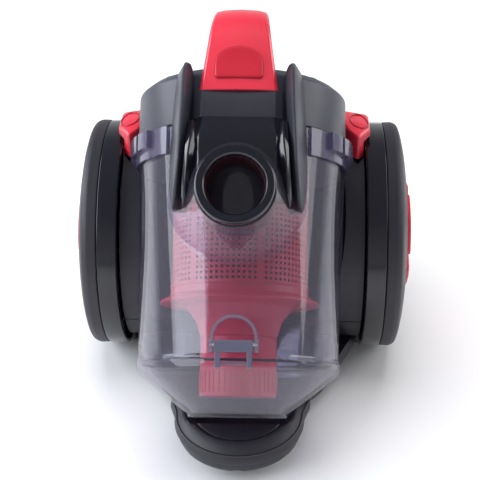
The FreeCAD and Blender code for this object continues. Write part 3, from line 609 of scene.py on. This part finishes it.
COWL_LOW, COWL_HIGH, COWL_STEPS = 113, 172.6, 27
cowl_rings = []
for n in range(COWL_STEPS + 1):
    height = COWL_LOW + (COWL_HIGH - COWL_LOW) * n / COWL_STEPS
    half, deep = cowl_section(height)
    outline = fillet([(-half, -66), (-half, -deep + 7), (-half + 9, -deep),
                      (half - 9, -deep), (half, -deep + 7), (half, -66)], [0, 4, 5, 5, 4, 0], 5)
    cowl_rings.append([(x, y, height + 1.5 * (1 - (x / half) ** 2) * (n == COWL_STEPS)) for x, y in outline])
cowl = mesh_piece("cowl_looks", *loft(cowl_rings), "gloss_black", "dust_cup", ("inlet_cowl",), sharp=40)
carved(cowl, cylinder_shape(28, 40, 130, to_front, 96))


def lobe(side):
    """The pointed inner blade of the cowl beside the inlet ring."""
    rings = []
    for height, inner, outer, deep in ((106.5, 37.2, 38.2, 82), (109, 35.8, 39.2, 86), (114, 33.4, 39.6, 90),
                                       (122, 31.8, 39.2, 94), (132, 31.0, 38.4, 97), (142, 30.0, 37.6, 98.6),
                                       (150, 28.5, 37.2, 97.6), (157, 28.0, 36.8, 94.6),
                                       (164, 28.0, 36.4, 90.5), (171, 28.0, 36.0, 86.0)):
        tip = (inner + outer) / 2 + 1
        outline = fillet([(outer, -70), (outer, -deep + 3), (tip, -deep), (inner, -deep + 5), (inner, -70)],
                         [0, 1.5, 1.2, 2.5, 0], 4)
        rings.append([(side * x, y, height) for x, y in outline])
    return loft(rings)


mesh_piece("cowl_lobes", *joined(lobe(1), lobe(-1)), "gloss_black", "dust_cup", sharp=44)


def fin(side):
    """One upright blade beside the inlet: broad at the shoulder, running out to a point beside the duct."""
    stations = [  # height, then across and depth of the outer root, of the ridge and of the inner root
        (107, 47.8, 64, 46.4, 78, 45.0, 72), (110, 49.0, 63, 45.6, 84, 42.6, 74),
        (116, 50.4, 63, 44.2, 90, 40.8, 76), (126, 51.2, 62, 42.8, 95, 39.0, 78),
        (140, 51.4, 62, 41.6, 97.5, 37.4, 80), (158, 50.8, 63, 40.6, 98.4, 36.2, 80),
        (172, 50.2, 64, 40.0, 98, 35.4, 80), (190, 49.0, 65, 39.4, 96.4, 34.4, 80),
        (204, 47.6, 66, 39.2, 93, 34.0, 78), (212, 46.0, 66, 39.0, 87.5, 34.6, 75),
        (217.5, 43.0, 66, 39.0, 79, 36.4, 71)]
    rings = []
    for height, outer_x, outer_deep, ridge_x, ridge_deep, inner_x, inner_deep in stations:
        outline = fillet([(outer_x, -outer_deep), (ridge_x + 0.8, -ridge_deep), (inner_x, -inner_deep),
                          (38, -56)], [2, 1.6, 1, 0], 4)
        rings.append([(side * x, y, height) for x, y in outline])
    if side < 0:
        rings = [list(reversed(r)) for r in rings]
    return loft(rings)


mesh_piece("fins_looks", *joined(fin(1), fin(-1)), "fin_grey", "dust_cup", ("cover_fins",), sharp=30)


# ---------------------------------------------------------------- the carrying handle
def handle_line(depth, steps=12):
    corners = [(84 - depth, 194), (77.5 - depth * 0.93, HANDLE_TOP - depth),
               (-66 + depth * 0.9, HANDLE_TOP - depth),
               (-70 + depth, 212)]
    return fillet(corners, [0, 40 - depth * 0.8, 40 - depth * 0.8, 0], steps, False)


def handle_bar(top_depth, low_depth, crown_drop, inset=0.0):
    """A bar between two depths of the handle, wide at its foot, narrower at the top and crowned outside."""
    top, low = handle_line(top_depth), handle_line(low_depth)
    rings = []
    for (a, h), (c, g) in zip(top, low):
        half = 29.0 - 8.0 * min(1, max(0, (h - 196) / 66)) ** 0.8 - inset
        outward = Vector((a - c, h - g)).normalized()
        ring = []
        section = [(-half, 1.0), (-half, 0.28), (-half + 2.2, 0.08), (-half * 0.6, -0.02), (0, -0.07),
                   (half * 0.6, -0.02), (half - 2.2, 0.08), (half, 0.28), (half, 1.0), (half * 0.5, 1.0),
                   (-half * 0.5, 1.0)]
        for x, t in section:
            t = t if t >= 0.5 else t * crown_drop
            ring.append((x, -(a + (c - a) * t), h + (g - h) * t))
        rings.append(ring)
    return loft(rings)


mesh_piece("handle_looks", *handle_bar(0, 13.5, 1.0), "red_gloss", "dust_cup", ("handle_shell",),
           sharp=28, bevel=1.0)
mesh_piece("grip_looks", *handle_bar(13.6, 23, 0.2, 0.8), "housing_black", "dust_cup", ("handle_grip",),
           sharp=40, bevel=1.4)

# the arch button on the handle's front, tilted like the face it sits in
button_tilt = Matrix.Translation((0, -84.9, 196)) @ Matrix.Rotation(math.radians(-4.5), 4, "X")


def arch(half, low, shoulder, high, steps=14):
    top = [(half * math.cos(a), shoulder + (high - shoulder) * math.sin(a))
           for a in (math.pi * n / steps for n in range(steps + 1))]
    return [(-half, low), (half, low)] + top


def button_top(x, y):
    return 1.3 + 0.0035 * (y - 14) ** 2 * (y > 14)


face_on = button_tilt @ Matrix.Rotation(math.radians(90), 4, "X")
# a darker red plate behind the button that shows in the gap round it: painted shade in the gap
gap_shade_plate = prism(fillet(arch(17.7, 7.0, 19, 32.3), [2.5, 2.5] + [0] * 15), -2.0, 0.35)
mesh_piece("button_gap", *moved(gap_shade_plate, face_on), "red_deep", "dust_cup")
button_outline = fillet(arch(17.3, 7.4, 19, 31.9), [2.2, 2.2] + [0] * 15)
button = domed(button_outline, -3.2, button_top, 1.0)
# the button's darker red is painted shade
mesh_piece("button_looks", *moved(button, face_on), "red_button", "handle_button", ("release_button",))

# ---------------------------------------------------------------- the hinged bottom and its latch
def hinge_knuckle(low, high):
    """The sleeve on the hinge pin between two places along it."""
    return lathe(fillet([(1.6, low), (3.5, low), (3.5, high), (1.6, high)], 0.3), 32, True,
                 Matrix.Translation((0, 84, -2)) @ Matrix.Rotation(math.radians(90), 4, "Y"))


def half_circle(radius, middle, steps=24):
    return [(radius * math.cos(a), middle + radius * math.sin(a))
            for a in (math.pi * n / steps for n in range(steps + 1))]


lid = fillet([(0.1, -41), (38, -41), (38.6, -38.5), (41, -36.6), (75.6, -9), (78.2, -6.4), (78.4, -0.2),
              (76.4, -0.2), (75.6, -5), (38.6, -34), (35.5, -37.6), (0.1, -38.6)],
             [0, 1.2, 0.6, 1, 3, 1, 0.5, 0.4, 2, 3, 1, 0])
mesh_piece("lid_looks", *lathe(lid, 192), "smoked_clear", "cup_flap", ("dust_flap",))
knuckle = hinge_knuckle(-12, 12)
arm = prism([(-12, 76), (12, 76), (12, 83.5), (-12, 83.5)], -5.6, -2.5)
catch = prism(fillet([(-84.6, -5.6), (-77.5, -5.6), (-77.5, -3.0), (-83.4, -3.0)], 0.3), -13, 13, "x")
mesh_piece("lid_fittings", *joined(knuckle, arm, catch), "smoked_latch", "cup_flap")
rim_seal = lathe(fillet([(73, -2), (75.5, -2), (75.5, -0.1), (73, -0.1)], 0.4), 144)
mesh_piece("lid_seal", *rim_seal, "rubber", "cup_flap", ("flap_gasket",))

guard = prism([(16.7, 3)] + half_circle(16.7, 13) + [(-16.7, 3), (-14.6, 3)] + half_circle(14.6, 13)[::-1]
              + [(14.6, 3)], -88, -75.6, "y")
ears = [prism(fillet([(-88.4, 3), (-76, 3), (-76, 13), (-88.4, 13)], 1.5), a, b, "x")
        for a, b in ((-17.6, -14.8), (14.8, 17.6))]
CUP_HINGE = ((-21.4, -12.6), (12.6, 21.4))
cup_knuckles = [hinge_knuckle(a, b) for a, b in CUP_HINGE]
cup_arms = [prism([(a, 74), (b, 74), (b, 85), (a, 85)], 0.2, 5) for a, b in CUP_HINGE]
mesh_piece("latch_guard", *joined(guard, *ears), "smoked_latch", "dust_cup", sharp=40)
mesh_piece("cup_hinge", *joined(*cup_knuckles, *cup_arms), "smoked_clear", "dust_cup")
plate = fillet([(-88.6, 3.4), (-86.2, 3.0), (-85, 4.4), (-85, 11.2), (-87.4, 11.8), (-88.6, 10.4)], 0.6)
bow = fillet([(-88.9, 9.6), (-84.8, 9.6), (-84.8, 11.6), (-88.9, 11.6)], 0.8)
hook = fillet([(-88.2, 4), (-88.0, -7.2), (-86.6, -8.2), (-84.9, -8.2), (-84.9, -6.6), (-86, -5.6),
               (-85.8, 4)], 0.4)
hooks = [prism(hook, a, b, "x") for a, b in ((-13, -9.4), (9.4, 13))]
mesh_piece("latch_looks", *joined(prism(plate, -13.8, 13.8, "x"), prism(bow, -13, 13, "x"), *hooks),
           "latch_grey", "cup_latch", ("flap_latch",), bevel=0.3)

# ---------------------------------------------------------------- pedals
PEDAL = [(81, 62), (104, 62), (104, 37), (94, 21), (86, 30), (81, 43)]
PEDAL_ROUNDING = [3, 3, 2.5, 2, 2, 3]
SPRING_X, SPRING_TURNS = 89, 7


def pedal_top(x, y):
    return 211.5 - 0.18 * max(0, 40 - y) - 0.0012 * (y - 48) ** 2 - 0.020 * (abs(x) - 88) ** 2


for side, name in ((1, "rewind"), (-1, "power")):
    outline = PEDAL if side > 0 else [(-x, y) for x, y in reversed(PEDAL)]
    radii = PEDAL_ROUNDING if side > 0 else PEDAL_ROUNDING[::-1]
    outline = fillet(outline, radii)
    cap = domed(outline, 186, pedal_top, 2.4)
    # the oval groove on the pedal's top is drawn as a thin bar in darker red: painted shade in the groove
    oval = []
    for n in range(40):
        a = 2 * math.pi * n / 40
        x, y = side * 95 + 7.6 * math.cos(a), 44 + 10.5 * math.sin(a)
        oval.append((x, y, pedal_top(x, y) + 0.15))
    groove_shade = tube_along(oval + [oval[0]], 0.75, 8)
    button_body = f"{name}_button"
    pedal = mesh_piece(f"{name}_pedal_looks", *cap, "red_gloss", button_body, (f"{name}_pedal",), WORLD, sharp=30)
    # a well for the spring, and room over the wheel when the pedal is pressed
    carved(pedal, cylinder_shape(4.6, 170, 193, Matrix.Translation((side * SPRING_X, 48, 0)), 32), WORLD)
    beside = Matrix.Translation((0, 48, 98)) @ Matrix.Rotation(math.radians(90 * side), 4, "Y")
    carved(pedal, cylinder_shape(103, 98.6, 140, beside, 192), WORLD)
    mesh_piece(f"{name}_pedal_ring_shade", *groove_shade, "red_deep", button_body, (), WORLD)
    whole = 2 * math.pi * SPRING_TURNS
    coil = [(side * SPRING_X + 3.5 * math.cos(a), 48 + 3.5 * math.sin(a), 168 + 19 * a / whole)
            for a in (whole * n / 140 for n in range(141))]
    spring = tube_along(coil, 0.5, 6)
    mesh_piece(f"{name}_spring_looks", *spring, "steel", "body", (f"{name}_pedal_spring",), WORLD)


# ---------------------------------------------------------------- the body's two housings
def hull_line(wall=0.0):
    """The body between the wheels seen from the side, in mm: (y, z) round it."""
    radius, rear, low = 90 - wall, 187.3 - wall, 14 + wall
    barrel = [(48 + radius * math.cos(a), 98 + radius * math.sin(a))
              for a in (math.radians(62 + (238 - 62) * n / 40) for n in range(41))]
    points = [(wall, low), (rear, low), (rear, 140), (rear - 14, 141)] + barrel
    return fillet(points, [0, 18, 16, 0] + [0] * len(barrel), 8)


def channel_shape(spare=0.0):
    """The round seat that the dust cup leans in, open to the front."""
    room = SEAT_RADIUS + spare
    back = [(room * math.cos(a), room * math.sin(a)) for a in (math.pi * n / 48 for n in range(49))]
    return prism([(room, -250)] + back + [(-room, -250)], -6 - spare, 262)


def bowl_shape(spare=0.0):
    return lathe([(0.1, -45 - spare), (42 + spare, -45 - spare), (SEAT_RADIUS + spare, -5.9 - spare),
                  (0.1, -5.9 - spare)], 96)


def housing(name, low, high, material, stands_for):
    """A hollow shell of the hull between two heights, with the cup's seat sunk into it."""
    shell = mesh_piece(name, *prism(hull_line(), -99, 99, "x"), material, "body", stands_for, WORLD, sharp=28)
    for below, above in ((-20, low), (high, 300)):
        carved(shell, prism([(-160, -260), (160, -260), (160, 260), (-160, 260)], below, above), WORLD)
    inside = mesh_piece(f"{name}_space", *prism(hull_line(3), -96, 96, "x"), material, "body", (), WORLD)
    carved(inside, channel_shape(3))
    carved(inside, bowl_shape(3))
    cut_by(shell, inside)
    carved(shell, channel_shape())
    carved(shell, bowl_shape())
    return shell


def box_shape(low, high):
    return prism([(low[0], low[1]), (high[0], low[1]), (high[0], high[1]), (low[0], high[1])], low[2], high[2])


gland_turn = Matrix.Translation((66, 181.3, 92)) @ Matrix.Rotation(math.radians(-90), 4, "X")
base = housing("base_housing_looks", 0, 61.4, "housing_black", ("base_housing",))
upper = housing("upper_housing_looks", 62.4, 300, "housing_black", ("upper_housing",))
for shell in (base, upper):
    carved(shell, box_shape((-46.3, 178, 67.7), (46.3, 195, 117.3)), WORLD)
    carved(shell, cylinder_shape(9.2, -6, 12, gland_turn), WORLD)
SOCKET = ((79.6, 63.4), (105.4, 63.4), (105.4, 36.6), (94, 19), (84.8, 29.6), (79.6, 42.8))
for mirror in (1, -1):
    carved(upper, prism([(x * mirror, y) for x, y in SOCKET], 168, 300), WORLD)
slat = [(181.5, 0), (184, -0.6), (187, -2.4), (187, -0.6), (184, 1.2), (181.5, 1.8)]
slats = [prism(fillet([(y, 73 + 5 * n + z) for y, z in slat], 0.4), -41, 41, "x") for n in range(9)]
grille_outline = fillet([(-46, 68), (46, 68), (46, 117), (-46, 117)], 3)
grille_window = fillet([(-40.5, 71.5), (40.5, 71.5), (40.5, 113.5), (-40.5, 113.5)], 3)
grille_frame = mesh_piece("rear_grille", *prism(grille_outline, 184.3, 187.6, "y"), "charcoal", "body",
                          ("exhaust_grille",), WORLD)
carved(grille_frame, prism(grille_window, 170, 200, "y"), WORLD)
mesh_piece("rear_slats", *joined(*slats), "charcoal", "body", (), WORLD)
gland = lathe(fillet([(4.5, 0), (12, 0), (12, 3), (9, 3), (9, 6.6), (8.2, 7.4), (5.4, 7.4), (4.5, 6.4)],
                     [0, 0.4, 0.4, 0.3, 0.8, 0.6, 0.6, 0.8]), 64, True, gland_turn)
mesh_piece("gland_looks", *gland, "rubber", "body", ("cord_gland",), WORLD)


# the tray in front with its round nose, the bumper round it and the caster below
def tray_line(inset):
    side = [(99 - inset, 6), (99 - inset, -2), (80 - inset, -47), (70 - inset, -67), (58 - inset, -82),
            (56.5 - inset, -100)]
    radius = NOSE_RADIUS - inset
    nose = [(radius * math.cos(a), NOSE_Y - radius * math.sin(a))
            for a in (math.pi * n / 40 for n in range(41))]
    other_side = [(-x, y) for x, y in reversed(side)]
    return fillet(side + nose + other_side, [0, 3, 8, 8, 8, 8] + [0] * 41 + [8, 8, 8, 8, 3, 0])


def tray_loft(levels):
    """The tray's outline at each (height, inset), skinned over."""
    return loft([[(x, y, z) for x, y in tray_line(inset)] for z, inset in levels])


def carved_for_cup(piece, *more):
    """Cuts the cup's seat out of a piece, then any further shapes given in the world's frame."""
    carved(piece, channel_shape())
    carved(piece, bowl_shape())
    for shape in more:
        carved(piece, shape, WORLD)


caster_hole = cylinder_shape(18, 11, 23.6, CASTER)
tray = mesh_piece("tray_looks", *tray_loft([(12, 4.4), (13, 3.4), (16, 2.4), (20.6, 1.8), (29.6, 1.8)]),
                  "housing_black", "body", (), WORLD)
carved_for_cup(tray, caster_hole)
bumper_levels = [(20.5, 2.2), (21.3, 0.8), (22.6, 0.2), (25, 0.5), (27.8, 1.6), (30.5, 3.6), (33, 6.4),
                 (34.6, 9.4), (35, 11.5)]
bumper = mesh_piece("bumper_looks", *tray_loft(bumper_levels), "charcoal", "body", ("nose_bumper",), WORLD,
                    sharp=40)
carved(bumper, prism(tray_line(13), 8, 50), WORLD)
behind_bumper = [(-84, 10), (-84, 18), (-90, 25), (-110, 34), (-116, 36), (-116, 80), (120, 80), (120, 10)]
carved(bumper, prism(behind_bumper, -130, 130, "x"), WORLD)
carved_for_cup(bumper, caster_hole)
dish = [(36 * math.cos(a), NOSE_Y - 33 * math.sin(a)) for a in (2 * math.pi * n / 64 for n in range(64))]
dish_pad = mesh_piece("nose_dish", *domed(dish, 28, dome(31.6, 0.0006, NOSE_Y), 1.2), "charcoal_satin",
                      "body", (), WORLD)
carved_for_cup(dish_pad)
legs = [prism(fillet([(0, 6.5), (11, 6.5), (10, 22), (-6, 22)], 2), x - 1, x + 1, "x") for x in (-7.5, 7.5)]
plate = lathe(fillet([(0.1, 21), (12, 21), (12, 23), (0.1, 23)], [0, 0.5, 0.5, 0]), 64)
post = lathe(fillet([(0.1, 22.5), (4, 22.5), (4, 27.6), (0.1, 27.6)], [0, 0, 0.8, 0]), 48)
mesh_piece("fork_looks", *moved(joined(plate, post, *legs), CASTER), "housing_black", "caster_swivel",
           ("caster_fork",), WORLD)
tyre_profile = fillet([(1.55, 0), (8.5, 0), (10, 1.5), (10, 10.5), (8.5, 12), (1.55, 12)],
                      [0, 0.3, 1.2, 1.2, 0.3, 0])
tyre_turn = Matrix.Translation((-6, -139, 10)) @ Matrix.Rotation(math.radians(90), 4, "Y")
tyre = lathe(tyre_profile, 64, True, tyre_turn)
mesh_piece("caster_tyre_looks", *tyre, "rubber", "caster_roller", ("caster_wheel",), WORLD)
